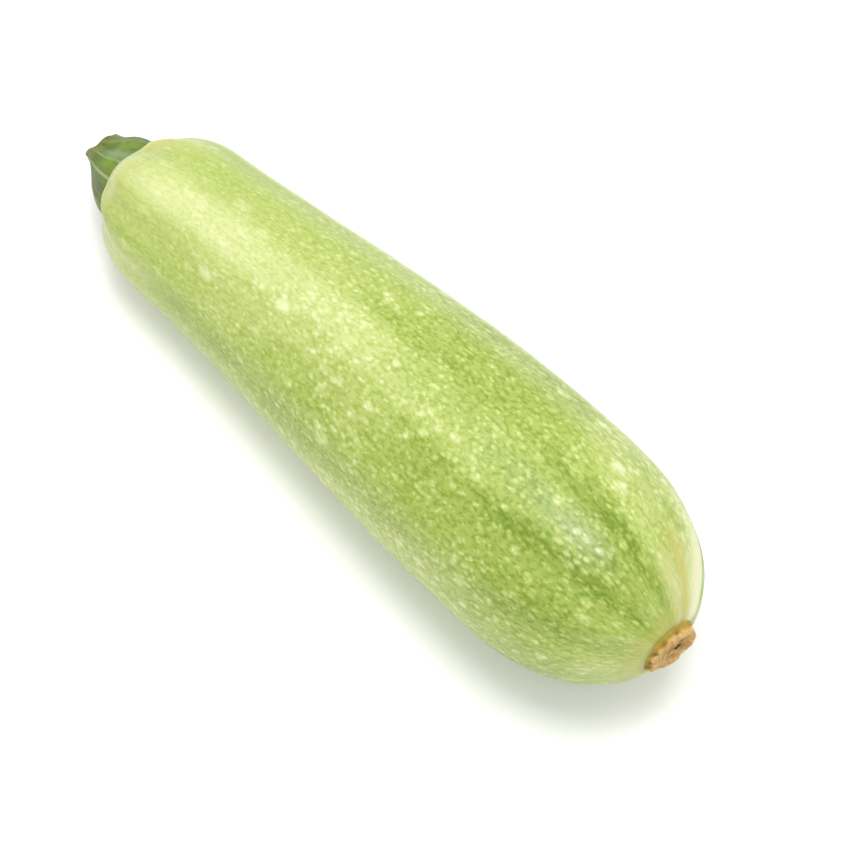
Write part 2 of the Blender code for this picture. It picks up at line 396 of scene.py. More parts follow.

# Streaks that run into the scar, and painted light on the pale rib beside it: angle, half width, where they
# start and are full in mm, strength, colour
SCAR_STREAKS_AND_PAINTED_LIGHT = (
    (143, 5, 168, 184, 0.85, paint(208, 200, 80)),
    (156, 6, 174, 186, 0.60, paint(230, 222, 160)),
    # Painted light: the pale rib, whiter than the skin's own palest colour, standing in for light from the
    # floor falling on it
    (123, 14, 173, 187, 0.85, paint(255, 252, 202)),
)

# A painted highlight: a bluish white sheen, broken into speckle by the flecks, on the high rib near the
# blossom end
PAINTED_SHEEN_ANGLE = 188
PAINTED_SHEEN_HALF_WIDTH = 8
PAINTED_SHEEN_FROM_STEM = 168 * MM
PAINTED_SHEEN_REACH = 6 * MM
PAINTED_SHEEN_WHITE = paint(228, 238, 210)


def flecks(place, spacing, radius, share, softness):
    """Round spots of varied sizes up to radius: about one to each spacing, in that share of the places."""
    sockets = {"Vector": place, "Scale": 1 / spacing, "Randomness": FLECK_SCATTER}
    cells = place.bench.add("ShaderNodeTexVoronoi", None, sockets)
    chance = place.bench.add("ShaderNodeSeparateColor", None, {"Color": cells["Color"]})
    size = (0.5 + 0.5 * chance["Green"]) * (radius / spacing)
    kept = step_up(chance["Red"], share + 0.02, share - 0.02)
    strength = 0.55 + 0.45 * chance["Blue"]
    return step_up(cells["Distance"] / size, 1 + softness / 2, 1 - softness) * kept * strength


def swayed(place, waves, reach):
    """The place, moved about a little by noise, so that what is laid out there loses its even grid."""
    sockets = {"Vector": place, "Scale": waves, "Detail": 2}
    sway = place.bench.add("ShaderNodeTexNoise", None, sockets)["Color"]
    centred = {0: sway, 1: (0.5, 0.5, 0.5)}
    sway = place.bench.add("ShaderNodeVectorMath", {"operation": "SUBTRACT"}, centred)["Vector"]
    moved = {0: sway, 1: (reach, reach, reach), 2: place}
    return place.bench.add("ShaderNodeVectorMath", {"operation": "MULTIPLY_ADD"}, moved)["Vector"]


def make_skin():
    material, bench, shader, spot = start_material("zucchini_skin")
    around, across, x = spot["X"], spot["Y"], spot["Z"]
    angle = maths("ARCTAN2", across, around) * (180 / math.pi)

    # An even, seamless place on the skin: the round coordinates at a middling radius, and a length that
    # slows down a little towards the scar. The less the length counts, the longer the marks are drawn out
    reach = x + (1 - dome_at(FRUIT_LENGTH - x, DOME_LENGTH)) * PATTERN_ON_DOME
    along = reach - maths("MAXIMUM", reach - PATTERN_SLOWS_FROM, 0) * PATTERN_SLOWS_BY
    round_x, round_y = around * PATTERN_RADIUS, across * PATTERN_RADIUS
    patch_place = combine(round_x, round_y, along * 0.4)
    streak_place = combine(round_x, round_y, along * 0.12)
    dash_place = combine(round_x, round_y, along * 0.5)
    straight = combine(round_x, round_y, along * 0.64)
    fleck_place = swayed(straight, 620, FLECK_SWAY)

    # Deeper towards the blossom end, then paler again beside the scar
    tone = 0.53 + 0.11 * step_up(x, 60 * MM, 140 * MM) + 0.09 * step_up(x, 135 * MM, 168 * MM)
    tone = tone - 0.18 * step_up(x, 174 * MM, 190 * MM) + 0.04 * step_up(x, 16 * MM, 4 * MM)
    wander = (noise(patch_place, 42) - 0.5) * BAND_WANDER
    for middle, turn, half_width, starts, ends, amount in SKIN_BANDS_AND_PAINTED_SHADING:
        away = turn_from(angle + wander, groove_middle(middle, turn, x)) / half_width
        here = step_up(x, (starts - BAND_FADES_IN) * MM, (starts + BAND_FADES_IN) * MM)
        here = here * step_up(x, (ends + BAND_FADES_OUT) * MM, (ends - BAND_DRAWN_IN) * MM)
        tone = tone + maths("EXPONENT", away * away * (away * away * 0.5 + 0.5) * -1) * here * amount
    blotchy = 0.26 + 0.22 * step_up(x, 160 * MM, 182 * MM)
    tone = tone + (noise(patch_place, 110, 3) - 0.5) * blotchy
    streaky = 0.14 + 0.08 * step_up(x, 150 * MM, 180 * MM)
    tone = tone + (noise(streak_place, 620, 3, 0.6) - 0.5) * streaky

    # Fine dark dashes and the pale flecks, thickly strewn over it and fainter towards both ends
    clear = (0.3 + 0.7 * step_up(x, 0, 105 * MM)) * (1 - 0.3 * step_up(x, 170 * MM, 186 * MM))
    dashes = step_up(noise(dash_place, 1150, 2, 0.6), 0.40, 0.66) * (0.3 + 0.7 * clear)
    fine = flecks(fleck_place, *FINE_FLECKS) * clear
    small = flecks(fleck_place, *SMALL_FLECKS) * clear
    middling = flecks(straight, *MIDDLING_FLECKS) * (0.25 + 0.75 * clear)
    large = flecks(straight, *LARGE_FLECKS) * (0.3 + 0.7 * clear)
    large = large * (1 - 0.35 * step_up(x, 150 * MM, 172 * MM))
    tone = tone + dashes * 0.22 - fine * 0.34 - small * 0.32
    tone = tone - middling * 0.34 - large * 0.40
    ramp = bench.add("ShaderNodeValToRGB", {"stops": SKIN_TONES}, {"Fac": tone * TONE_ON_RAMP})
    colour = ramp["Color"]

    # Yellow and cream on the shoulder, which is yellower on its fuller side
    hue_patches = noise(patch_place, 60, 2)
    fuller_side = bell(turn_from(angle, FULL_SIDE_ANGLE), 28) * 0.7
    yellowed = maths("MAXIMUM", step_up(hue_patches, 0.42, 0.60), fuller_side)
    shoulder = step_up(x, 12 * MM, 0.5 * MM) * yellowed
    colour = blend_colours(shoulder * 0.75, colour, SHOULDER_YELLOW)
    cream = step_up(x, 8 * MM, 1 * MM) * step_up(hue_patches, 0.48, 0.36)
    colour = blend_colours(cream * 0.6, colour, SHOULDER_CREAM)
    # Painted highlight: a pale line along the shoulder's rim round the stem's seat
    seat_rim_highlight = step_up(x, 1.6 * MM, 0.2 * MM)
    colour = blend_colours(seat_rim_highlight * 0.6, colour, SEAT_RIM_HIGHLIGHT_GREEN)

    # Golden and cream beside the scar, and painted light on the pale rib there
    near_scar = step_up(x, 186.5 * MM, 190.6 * MM) * (1 - bell(turn_from(angle, NEAR_SCAR_GAP_ANGLE), 18))
    colour = blend_colours(near_scar * 0.6, colour, NEAR_SCAR_GREEN)
    scar_edge = step_up(x, 190.3 * MM, 191 * MM)
    colour = blend_colours(scar_edge * 0.85, colour, SCAR_EDGE_GOLD)
    for middle, half_width, starts, full, strength, streak_and_painted_light_colour in SCAR_STREAKS_AND_PAINTED_LIGHT:
        streak_and_painted_light = step_up(x, starts * MM, full * MM) * bell(turn_from(angle, middle), half_width)
        colour = blend_colours(streak_and_painted_light * strength, colour, streak_and_painted_light_colour)

    # Painted highlight: the light's sheen on the high rib, laid over the green in bluish white where the
    # flecks are
    painted_sheen = bell(turn_from(angle, PAINTED_SHEEN_ANGLE), PAINTED_SHEEN_HALF_WIDTH) * bell(x - PAINTED_SHEEN_FROM_STEM, PAINTED_SHEEN_REACH)
    colour = blend_colours(painted_sheen * (0.12 + fine + small + middling) * 0.7, colour, PAINTED_SHEEN_WHITE)

    height = fine * 0.3 + small * 0.4 + middling * 0.7 + large - dashes * 0.3
    height = height + noise(streak_place, 700, 2) * 0.4 + noise(straight, 300, 2) * 1.1
    bump = bench.add("ShaderNodeBump", None, {"Strength": 0.16, "Distance": 0.12 * MM, "Height": height})
    gloss = 0.40 + (noise(straight, 300, 2) - 0.5) * 0.16 + (small + middling + large) * 0.05
    tree = bench.tree
    tree.links.new(colour.socket, shader.inputs["Base Color"])
    tree.links.new(gloss.socket, shader.inputs["Roughness"])
    tree.links.new(bump["Normal"].socket, shader.inputs["Normal"])
    shader.inputs["Subsurface Weight"].default_value = 0.12
    shader.inputs["Subsurface Radius"].default_value = (0.9, 1.0, 0.35)
    shader.inputs["Subsurface Scale"].default_value = 2.5 * MM
    shader.inputs["Coat Weight"].default_value = 0.04
    shader.inputs["Coat Roughness"].default_value = 0.22
    return material


FRUIT_SIZES = {
    "Length": ("NodeSocketFloat", FRUIT_LENGTH),
    "Neck Radius": ("NodeSocketFloat", NECK_RADIUS),
    "Belly Radius": ("NodeSocketFloat", BELLY_RADIUS),
    "Belly From Stem": ("NodeSocketFloat", BELLY_FROM_STEM),
    "Bend": ("NodeSocketFloat", BEND),
    "Shoulder Length": ("NodeSocketFloat", SHOULDER_LENGTH),
    "Dome Length": ("NodeSocketFloat", DOME_LENGTH),
    "Rings": ("NodeSocketInt", FRUIT_RINGS),
    "Sides": ("NodeSocketInt", FRUIT_SIDES + 1),
}


def make_fruit(material):
    tree, bench, size = start_growth("fruit_growth", FRUIT_SIZES)
    sheet, along, round_it = rolled_grid(bench, size["Rings"], size["Sides"])
    length = size["Length"]
    inner = maths("MINIMUM", along / SEAT_SHARE, (1 - along) / SEAT_SHARE)
    inner = maths("MINIMUM", inner, 1)
    share = maths("MINIMUM", maths("MAXIMUM", (along - SEAT_SHARE) / (1 - 2 * SEAT_SHARE), 0), 1)
    crowding = RINGS_CLOSER_AT_ENDS / (2 * math.pi)
    x = length * (share - maths("SINE", share * (2 * math.pi)) * crowding)

    radians = round_it * (2 * math.pi)
    angle = round_it * 360
    widening = step_up(x, 0, size["Belly From Stem"])
    radius = size["Neck Radius"] + (size["Belly Radius"] - size["Neck Radius"]) * widening
    left_of_shoulder = maths("MAXIMUM", 1 - x / size["Shoulder Length"], 0)
    full = (1 - left_of_shoulder ** SHOULDER_FULLNESS) ** SHOULDER_BLUNTNESS
    radius = STEM_SEAT_RADIUS + (radius - STEM_SEAT_RADIUS) * full
    radius = SCAR_SEAT_RADIUS + (radius - SCAR_SEAT_RADIUS) * dome_at(length - x, size["Dome Length"])

    from_end = maths("MINIMUM", x, length - x)
    fades = step_up(from_end, 0, GROOVES_FADE_OVER)
    depth_here = (1 + GROOVES_DEEPER_AT_ENDS * bell(from_end, ENDS_REACH)) * fades
    relief = 0
    gap = 0
    for middle, turn, depth in GROOVES:
        relief = bell(turn_from(angle, groove_middle(middle, turn, x)), GROOVE_HALF_WIDTH) * -depth + relief
        gap = maths("MAXIMUM", bell(turn_from(angle, middle), LOBE_GAP_HALF_WIDTH), gap)
    cos, sin = maths("COSINE", radians), maths("SINE", radians)
    surface_place = combine(cos * BELLY_RADIUS, sin * BELLY_RADIUS, x)
    dents = (noise(surface_place, 1 / DENT_SIZE) - 0.5) * (2 * DENT_DEPTH) * fades
    puckers = maths("COSINE", radians * PUCKER_COUNT) * bell(length - x, PUCKER_REACH) * PUCKER_DEPTH * fades
    radius = (radius + relief * depth_here + dents + puckers) * inner
    full_side = bell(turn_from(angle, FULL_SIDE_ANGLE), FULL_SIDE_HALF_WIDTH)
    rise = LOBE_RISE * (1 - gap) + full_side * FULL_SIDE_RISE
    rise = rise * bell(x - LOBE_FROM_STEM, LOBE_REACH) * inner
    radius = radius + full_side * bell(x - FULL_SIDE_FROM_STEM, FULL_SIDE_REACH) * FULL_SIDE_SWELL * inner

    half_way = x / length * 2 - 1
    slope = half_way * size["Bend"] * -4 / length
    steep = 1 / maths("SQRT", 1 + slope * slope)
    places = combine(
        radius * cos,
        size["Bend"] * (1 - half_way * half_way) + (radius * sin - rise * slope) * steep,
        x - (radius * sin * slope + rise) * steep,
    )
    finish_growth(bench, sheet, places, combine(cos, sin, x), material)
    return grow("fruit_skin", tree, FRUIT_SIZES)


def flatten_underside(obj):
    """The skin gives where it meets the surface: nothing reaches below it."""
    points = np.empty(len(obj.data.vertices) * 3, np.float32)
    obj.data.vertices.foreach_get("co", points)
    points = points.reshape(-1, 3)
    points[:, 2] = np.maximum(points[:, 2], 0)
    obj.data.vertices.foreach_set("co", points.ravel())
    obj.data.update()


def own_box(obj):
    points = np.array([vertex.co for vertex in obj.data.vertices])
    return Vector(points.min(0)), Vector(points.max(0))


fruit_skin = make_fruit(make_skin())
laid_down = Matrix.Rotation(math.radians(90 - AXIS_RISE), 4, "Y")
fruit_skin.data.transform(laid_down)
face_outwards(fruit_skin)
own_low, own_high = own_box(fruit_skin)
cad_low, cad_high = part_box("fruit")
place_of_seat = cad_high - own_high
place_of_seat.y = (cad_low.y + cad_high.y - own_low.y - own_high.y) / 2
lying = Matrix.Translation(place_of_seat) @ laid_down
fruit_skin.data.transform(Matrix.Translation(place_of_seat))
flatten_underside(fruit_skin)
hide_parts("fruit")
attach(fruit_skin, "root")

# The stem: the stump of the woody stalk, cut off with a knife. It is fibrous and green, with five main ribs
# that wind a little round it and a lesser one between each two. It grows out of the fruit's flat seat
# along -Z, and its foot is sunk into the flesh.
STEM_RIBS = 5
STEM_FOOT_RADIUS = 12.3 * MM
STEM_CUT_RADIUS = 5.0 * MM
STEM_LENGTH = 15.8 * MM
STEM_SWELL = 1.3
STEM_OFFSET = -0.5 * MM
STEM_LEAN = 2.0 * MM
STEM_CUT_SLOPE_DOWN = 0.38
STEM_CUT_SLOPE_SIDE = -0.13
STEM_MAIN_RIB_ANGLE = 215
STEM_TWIST = 41
STEM_TWIST_LATE = 2.4
STEM_FOOT_LOBES = 0.07
STEM_CUT_LOBES = 0.15
STEM_RIB_SHARPNESS = 1.6
STEM_LESSER_RIB = 0.5
STEM_LESSER_RIB_SHARPNESS = 4
STEM_LESSER_RIB_ANGLE = 189
STEM_LESSER_TWIST = 33
STEM_SUNK = 0.9 * MM
STEM_FLARE = 0.9 * MM
STEM_FLARE_SHARE = 0.07
STEM_FIBRE_DEPTH = 0.16 * MM
STEM_CUT_DISH = 0.5 * MM
# Beside one rib the wall bulges, and the cut stands up in a high corner and in a lower brow
STEM_BULGE = 1.8 * MM
STEM_BULGE_ANGLE = 118
STEM_BULGE_HALF_WIDTH = 42
STEM_BULGE_PLACE = 0.66
STEM_BULGE_REACH = 0.26
STEM_CORNER = 1.2 * MM
STEM_CORNER_ANGLE = 238
STEM_CORNER_HALF_WIDTH = 26
STEM_BROW = 0.7 * MM
STEM_BROW_ANGLE = 166
STEM_BROW_HALF_WIDTH = 30

STEM_HALF_GAP = 180 / STEM_RIBS
STEM_FIBRE_RADIUS = 9 * MM
STEM_FIBRE_RUN = 2 * MM
STEM_RAISED = 0.2 * MM
STEM_CRUMB_WAVES = 900
STEM_CRUMB_HEIGHT = 0.4 * MM

STEM_SIDES = 200
STEM_RINGS = 130
STEM_WALL_FROM = 0.05
STEM_CUT_FROM = 0.74


def from_ribs(angle, t):
    """The turns to the nearest main rib and the nearest lesser one, 0 on a crest. t is 1 at the cut."""
    late = t ** STEM_TWIST_LATE
    past_main = angle - STEM_MAIN_RIB_ANGLE - late * STEM_TWIST
    past_lesser = angle - STEM_LESSER_RIB_ANGLE - late * STEM_LESSER_TWIST
    from_main = maths("WRAP", past_main, STEM_HALF_GAP, -STEM_HALF_GAP)
    from_lesser = maths("WRAP", past_lesser, STEM_HALF_GAP, -STEM_HALF_GAP)
    return maths("ABSOLUTE", from_main), maths("ABSOLUTE", from_lesser)


# The stem's colours
DEEP_GREEN = paint(84, 106, 32)
LEAF_GREEN = paint(124, 152, 50)
FIBRE_GREEN = paint(142, 160, 82)
FACET_GREEN = paint(124, 160, 44)
GREY_GREEN = paint(152, 176, 122)
VIVID_GREEN = paint(126, 160, 34)
# Painted shade on the face round the high corner
SHADED_FACE_GREEN = paint(106, 116, 66)
CREST_GREEN = paint(182, 194, 140)
KNOB_GREY = paint(148, 150, 118)
DRY_BROWN = paint(140, 132, 84)
FOOT_YELLOW = paint(184, 180, 92)
PITH_SHADE = paint(176, 178, 116)
PITH_PALE = paint(208, 206, 150)
BUNDLE_GREEN = paint(126, 142, 66)
CUT_RIM_BROWN = paint(140, 122, 76)
CUT_HEART_BROWN = paint(128, 112, 62)


def make_stem_green():
    material, bench, shader, spot = start_material("zucchini_stem")
    around, across, run = spot["X"], spot["Y"], spot["Z"]
    angle = maths("ARCTAN2", across, around) * (180 / math.pi)
    t = maths("MINIMUM", run, 1)
    into_cut = maths("MAXIMUM", run - 1, 0)
    from_main, from_lesser = from_ribs(angle, t)
    place = bench.add("ShaderNodeTexCoord")["Object"]
    fibre_place = combine(around * STEM_FIBRE_RADIUS, across * STEM_FIBRE_RADIUS, t * STEM_FIBRE_RUN)

    # Green between the ribs, paler and greyer on their crests, drier and browner towards the cut
    mottle = noise(place, 260, 3)
    colour = blend_colours(step_up(mottle, 0.36, 0.66), DEEP_GREEN, LEAF_GREEN)
    fibres = step_up(noise(fibre_place, 1500, 3, 0.6), 0.42, 0.70)
    colour = blend_colours(fibres * 0.4, colour, FIBRE_GREEN)
    late = t ** STEM_TWIST_LATE * STEM_LESSER_TWIST
    facet = step_up(maths("SINE", (angle - late - 270) * (math.pi / 36)), 0, 1) * 0.3
    colour = blend_colours(facet, colour, FACET_GREEN)
    greyed = bell(turn_from(angle - late, 176), 10) * step_up(t, 0.95, 0.6)
    colour = blend_colours(greyed * 0.75, colour, GREY_GREEN)
    vivid = bell(turn_from(angle - late, 199), 8) * bell(t - 0.42, 0.28)
    colour = blend_colours(vivid * 0.9, colour, VIVID_GREEN)
    # Painted shade: the face round the high corner is darker olive green
    shaded_face = bell(turn_from(angle - late, 238), 18)
    colour = blend_colours(shaded_face * 0.75, colour, SHADED_FACE_GREEN)
    crest = maths("MAXIMUM", step_up(from_main, 3.2, 1.0), step_up(from_lesser, 3.2, 1.0) * 0.85)
    crest = crest * (0.12 + 0.7 * bell(turn_from(angle, 226), 36))
    colour = blend_colours(crest, colour, CREST_GREEN)
    knob = bell(turn_from(angle, STEM_CORNER_ANGLE), 20) * step_up(t, 0.80, 0.97)
    colour = blend_colours(knob * 0.8, colour, KNOB_GREY)
    dry = step_up(t, 0.72, 1.0) * step_up(noise(place, 420, 2), 0.34, 0.60)
    colour = blend_colours(dry * 0.65, colour, DRY_BROWN)
    foot = step_up(t, 0.10, 0.0)
    colour = blend_colours(foot * 0.6, colour, FOOT_YELLOW)

    # The cut: dried pale pith inside a ring of fibre bundles, with a brown rim
    cut = step_up(into_cut, 0.0, 0.06)
    pith = blend_colours(step_up(noise(place, 900, 3), 0.35, 0.65), PITH_SHADE, PITH_PALE)
    turn = angle * (2 * STEM_RIBS * math.pi / 180)
    bundle = bell(into_cut - 0.34, 0.10) * step_up(maths("COSINE", turn), 0.1, 0.75)
    pith = blend_colours(bundle * 0.75, pith, BUNDLE_GREEN)
    rim = step_up(into_cut, 0.20, 0.04)
    pith = blend_colours(rim * 0.8, pith, CUT_RIM_BROWN)
    heart = step_up(into_cut, 0.78, 0.96)
    pith = blend_colours(heart * 0.6, pith, CUT_HEART_BROWN)
    colour = blend_colours(cut, colour, pith)

    height = fibres * 0.8 + noise(place, 1400, 2) * 0.5 + mottle
    bump = bench.add("ShaderNodeBump", None, {"Strength": 0.45, "Distance": 0.25 * MM, "Height": height})
    dullness = 0.52 + (mottle - 0.5) * 0.2 + cut * 0.2
    tree = bench.tree
    tree.links.new(colour.socket, shader.inputs["Base Color"])
    tree.links.new(dullness.socket, shader.inputs["Roughness"])
    tree.links.new(bump["Normal"].socket, shader.inputs["Normal"])
    shader.inputs["Specular IOR Level"].default_value = 0.3
    return material


STEM_SIZES = {
    "Length": ("NodeSocketFloat", STEM_LENGTH),
    "Foot Radius": ("NodeSocketFloat", STEM_FOOT_RADIUS),
    "Cut Radius": ("NodeSocketFloat", STEM_CUT_RADIUS),
    "Lean": ("NodeSocketFloat", STEM_LEAN),
    "Fibre Depth": ("NodeSocketFloat", STEM_FIBRE_DEPTH),
    "Rings": ("NodeSocketInt", STEM_RINGS),
    "Sides": ("NodeSocketInt", STEM_SIDES + 1),
}


def make_stem(material):
    tree, bench, size = start_growth("stem_growth", STEM_SIZES)
    sheet, along, round_it = rolled_grid(bench, size["Rings"], size["Sides"])
    angle = round_it * 360
    cos, sin = maths("COSINE", round_it * (2 * math.pi)), maths("SINE", round_it * (2 * math.pi))
    sunk = maths("MINIMUM", along / STEM_WALL_FROM, 1)
    t = maths("MINIMUM", maths("MAXIMUM", (along - STEM_WALL_FROM) / (STEM_CUT_FROM - STEM_WALL_FROM), 0), 1)
    into_cut = maths("MAXIMUM", (along - STEM_CUT_FROM) / (1 - STEM_CUT_FROM), 0)

    narrowing = step_up(t ** STEM_SWELL, 0, 1)
    radius = size["Foot Radius"] + (size["Cut Radius"] - size["Foot Radius"]) * narrowing
    radius = radius + bell(t, STEM_FLARE_SHARE) * STEM_FLARE
    bulge = bell(turn_from(angle, STEM_BULGE_ANGLE), STEM_BULGE_HALF_WIDTH)
    radius = radius + bulge * bell(t - STEM_BULGE_PLACE, STEM_BULGE_REACH) * STEM_BULGE
    lobes = STEM_FOOT_LOBES + step_up(t, 0, 1) * (STEM_CUT_LOBES - STEM_FOOT_LOBES)
    from_main, from_lesser = from_ribs(angle, t)
    main = (1 - from_main / STEM_HALF_GAP) ** STEM_RIB_SHARPNESS
    lesser = (1 - from_lesser / STEM_HALF_GAP) ** STEM_LESSER_RIB_SHARPNESS
    outline = 1 - lobes * (1 - main - lesser * STEM_LESSER_RIB)
    fibre_place = combine(cos * STEM_FIBRE_RADIUS, sin * STEM_FIBRE_RADIUS, t * STEM_FIBRE_RUN)
    fibres = (noise(fibre_place, 900, 2) - 0.5) * 2 * size["Fibre Depth"] * step_up(t, 0, 0.15)
    out = (radius * outline + fibres) * sunk * (1 - into_cut)
    x, y = out * cos, out * sin
    reach = size["Length"] + x * STEM_CUT_SLOPE_DOWN + y * STEM_CUT_SLOPE_SIDE
    rounded = step_up(into_cut, 0, 0.10)
    crumbs = (noise(combine(x, y, 0), STEM_CRUMB_WAVES, 2) - 0.5) * STEM_CRUMB_HEIGHT * rounded
    dish = step_up(into_cut, 0.08, 0.5) * STEM_CUT_DISH + crumbs
    corner = bell(turn_from(angle, STEM_CORNER_ANGLE), STEM_CORNER_HALF_WIDTH) * STEM_CORNER
    corner = corner + bell(turn_from(angle, STEM_BROW_ANGLE), STEM_BROW_HALF_WIDTH) * STEM_BROW
    z = t * reach * -1 - corner * t * t * (1 - into_cut) + dish + (1 - sunk) * STEM_SUNK
    places = combine(x, y + t * t * size["Lean"], z)
    finish_growth(bench, sheet, places, combine(cos, sin, t + into_cut), material)
    return grow("stem_stump", tree, STEM_SIZES)


def seat_at(x):
    """The frame of the flat seat at x on the bent axis, which is x from the stem's end."""
    slope = -4 * BEND / FRUIT_LENGTH * (2 * x / FRUIT_LENGTH - 1)
    return Matrix.Translation((0, 0, x)) @ Matrix.Rotation(-math.atan(slope), 4, "X")


stem_stump = make_stem(make_stem_green())
stem_stump.data.transform(lying @ Matrix.Translation((0, STEM_OFFSET, STEM_RAISED)) @ seat_at(0))
face_outwards(stem_stump)
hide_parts("stem")
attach(stem_stump, "root")

# The blossom scar: a dry corky disc where the flower fell off. It has a lumpy raised ring, a hollow with
# a pit in the middle, and dark dried ends of fibre in the notches of its rim. It grew on the fruit's
# other seat, along +Z.
SCAR_RADIUS = 7.7 * MM
SCAR_FOOT_RADIUS = 8.3 * MM
SCAR_RIM_HEIGHT = 2.2 * MM
SCAR_HOLLOW_RADIUS = 3.7 * MM
SCAR_HOLLOW_HEIGHT = 1.4 * MM
SCAR_PIT_RADIUS = 1.0 * MM
SCAR_PIT_DEPTH = 0.75 * MM
SCAR_SUNK = 1.2 * MM
SCAR_OUTLINE_WAVES = ((9, 0.03, -1.1), (4, 0.03, -1.75), (2, 0.02, -0.5), (1, 0.04, -1.7))
SCAR_HEIGHT_WAVES = ((1, 0.24, -1.5), (5, 0.10, 0.8))
SCAR_LUMP_SIZE = 1.5 * MM
SCAR_LUMP_HEIGHT = 0.34 * MM
SCAR_CRUMB_SIZE = 0.5 * MM
SCAR_CRUMB_HEIGHT = 0.14 * MM
# The notches in the rim: angle, width, and place on the way from the foot, 0, over the rim to the pit, 1.
# Those on the wall are olive, and those past its end, on the rim, are dark
SCAR_NOTCHES = (
    (28, 7, 0.44),
    (97, 13, 0.37),
    (116, 8, 0.42),
    (165, 7, 0.30),
    (199, 7, 0.30),
    (228, 6, 0.30),
    (257, 7, 0.26),
    (274, 6, 0.22),
    (298, 8, 0.40),
    (332, 10, 0.43),
)
SCAR_WALL_ENDS = 0.35
# The pit lies off the middle
SCAR_PIT_PLACE = (2.4 * MM, 2.3 * MM)
SCAR_INNER_RADIUS = 0.74 * SCAR_RADIUS
SCAR_NOTCH_DEPTH = 0.55 * MM
SCAR_NOTCH_SPREAD = 0.14

# The ring's outline from its foot to its pit: radius, height and how uneven it is
SCAR_PROFILE = (
    (0.001 * MM, -SCAR_SUNK, 0),
    (0.94 * SCAR_FOOT_RADIUS, -SCAR_SUNK, 0),
    (SCAR_FOOT_RADIUS, -0.10 * SCAR_RIM_HEIGHT, 0.2),
    (1.01 * SCAR_RADIUS, 0.22 * SCAR_RIM_HEIGHT, 0.7),
    (0.98 * SCAR_RADIUS, 0.60 * SCAR_RIM_HEIGHT, 1),
    (0.95 * SCAR_RADIUS, 0.88 * SCAR_RIM_HEIGHT, 1),
    (0.86 * SCAR_RADIUS, SCAR_RIM_HEIGHT, 1),
    (0.70 * SCAR_RADIUS, 0.95 * SCAR_RIM_HEIGHT, 0.8),
    (SCAR_HOLLOW_RADIUS, SCAR_HOLLOW_HEIGHT, 0.6),
    (1.25 * SCAR_PIT_RADIUS, 0.92 * SCAR_HOLLOW_HEIGHT, 0.5),
    (SCAR_PIT_RADIUS, 0.6 * SCAR_HOLLOW_HEIGHT, 0.5),
    (0.6 * SCAR_PIT_RADIUS, SCAR_HOLLOW_HEIGHT - SCAR_PIT_DEPTH, 0.5),
    (0.001 * MM, SCAR_HOLLOW_HEIGHT - 1.1 * SCAR_PIT_DEPTH, 0),
)
SCAR_SIDES = 180
SCAR_STEPS = 9
SCAR_SMOOTH_WITHIN = 0.5 * MM
SCAR_MERGED_WITHIN = 0.005 * MM


def rounded_profile(points, steps):
    """A smooth curve through the points, with so many steps between each two."""
    places = [Vector(point) for point in (points[0], *points, points[-1])]
    curve = []
    for before, start, end, after in zip(places, places[1:], places[2:], places[3:]):
        for step in range(steps):
            t = step / steps
            curve.append(
                0.5 * (2 * start + (end - before) * t + (2 * before - 5 * start + 4 * end - after) * t * t
                       + (3 * start - before - 3 * end + after) * t ** 3)
            )
    return [*curve, places[-1]]


def waves_at(turn, waves):
    """The sum of the waves there, each with its count round the disc, its share and its phase."""
    return sum(share * math.cos(count * turn + phase) for count, share, phase in waves)


def make_scar(material):
    profile = rounded_profile(SCAR_PROFILE, SCAR_STEPS)
    bm = bmesh.new()
    mark = bm.verts.layers.float_vector.new("marks")
    rows = []
    for step, (radius, height, unevenness) in enumerate(profile):
        row = []
        for side in range(SCAR_SIDES):
            turn = 2 * math.pi * side / SCAR_SIDES
            out = radius * (1 + unevenness * waves_at(turn, SCAR_OUTLINE_WAVES))
            lift = height * (1 + unevenness * waves_at(turn, SCAR_HEIGHT_WAVES))
            for notch, width, _ in SCAR_NOTCHES:
                away = (math.degrees(turn) - notch + 180) % 360 - 180
                at_wall = math.exp(-(((radius / SCAR_RADIUS - 1) / SCAR_NOTCH_SPREAD) ** 2))
                here = math.exp(-((away / width) ** 2)) * at_wall
                out -= SCAR_NOTCH_DEPTH * here * unevenness
            point = Vector((out * math.cos(turn), out * math.sin(turn), lift))
            if height > 0:
                inwards = (SCAR_INNER_RADIUS - radius) / (SCAR_INNER_RADIUS - SCAR_PIT_RADIUS)
                inwards = min(1, max(0, inwards))
                point.x += SCAR_PIT_PLACE[0] * inwards
                point.y += SCAR_PIT_PLACE[1] * inwards
            lumps = noise_at(point / SCAR_LUMP_SIZE) * SCAR_LUMP_HEIGHT
            crumbs = noise_at(point / SCAR_CRUMB_SIZE) * SCAR_CRUMB_HEIGHT
            share = min(1, radius / SCAR_SMOOTH_WITHIN) * unevenness
            point.z += (lumps + crumbs) * share
            vertex = bm.verts.new(point)
            vertex[mark] = (math.cos(turn), math.sin(turn), step / (len(profile) - 1))
            row.append(vertex)
        rows.append(row)
    for row, following in zip(rows, rows[1:]):
        for side in range(SCAR_SIDES):
            after = (side + 1) % SCAR_SIDES
            bm.faces.new((row[side], row[after], following[after], following[side]))
    bmesh.ops.remove_doubles(bm, verts=bm.verts, dist=SCAR_MERGED_WITHIN)
    for face in bm.faces:
        face.smooth = True
    mesh = bpy.data.meshes.new("scar_disc")
    bm.to_mesh(mesh)
    bm.free()
    mesh.materials.append(material)
    obj = bpy.data.objects.new("scar_disc", mesh)
    bpy.context.scene.collection.objects.link(obj)
    return obj


# The cork's colours
CORK_SHADE = paint(212, 164, 92)
CORK_PALE = paint(240, 202, 134)
CRUMB_PALE = paint(246, 212, 150)
WALL_SHADE = paint(164, 134, 36)
WALL_PALE = paint(200, 168, 76)
FOOT_GOLD = paint(178, 168, 66)
HOLLOW_BROWN = paint(150, 118, 52)
NOTCH_OLIVE = paint(128, 104, 16)
FIBRE_END_BROWN = paint(88, 60, 16)


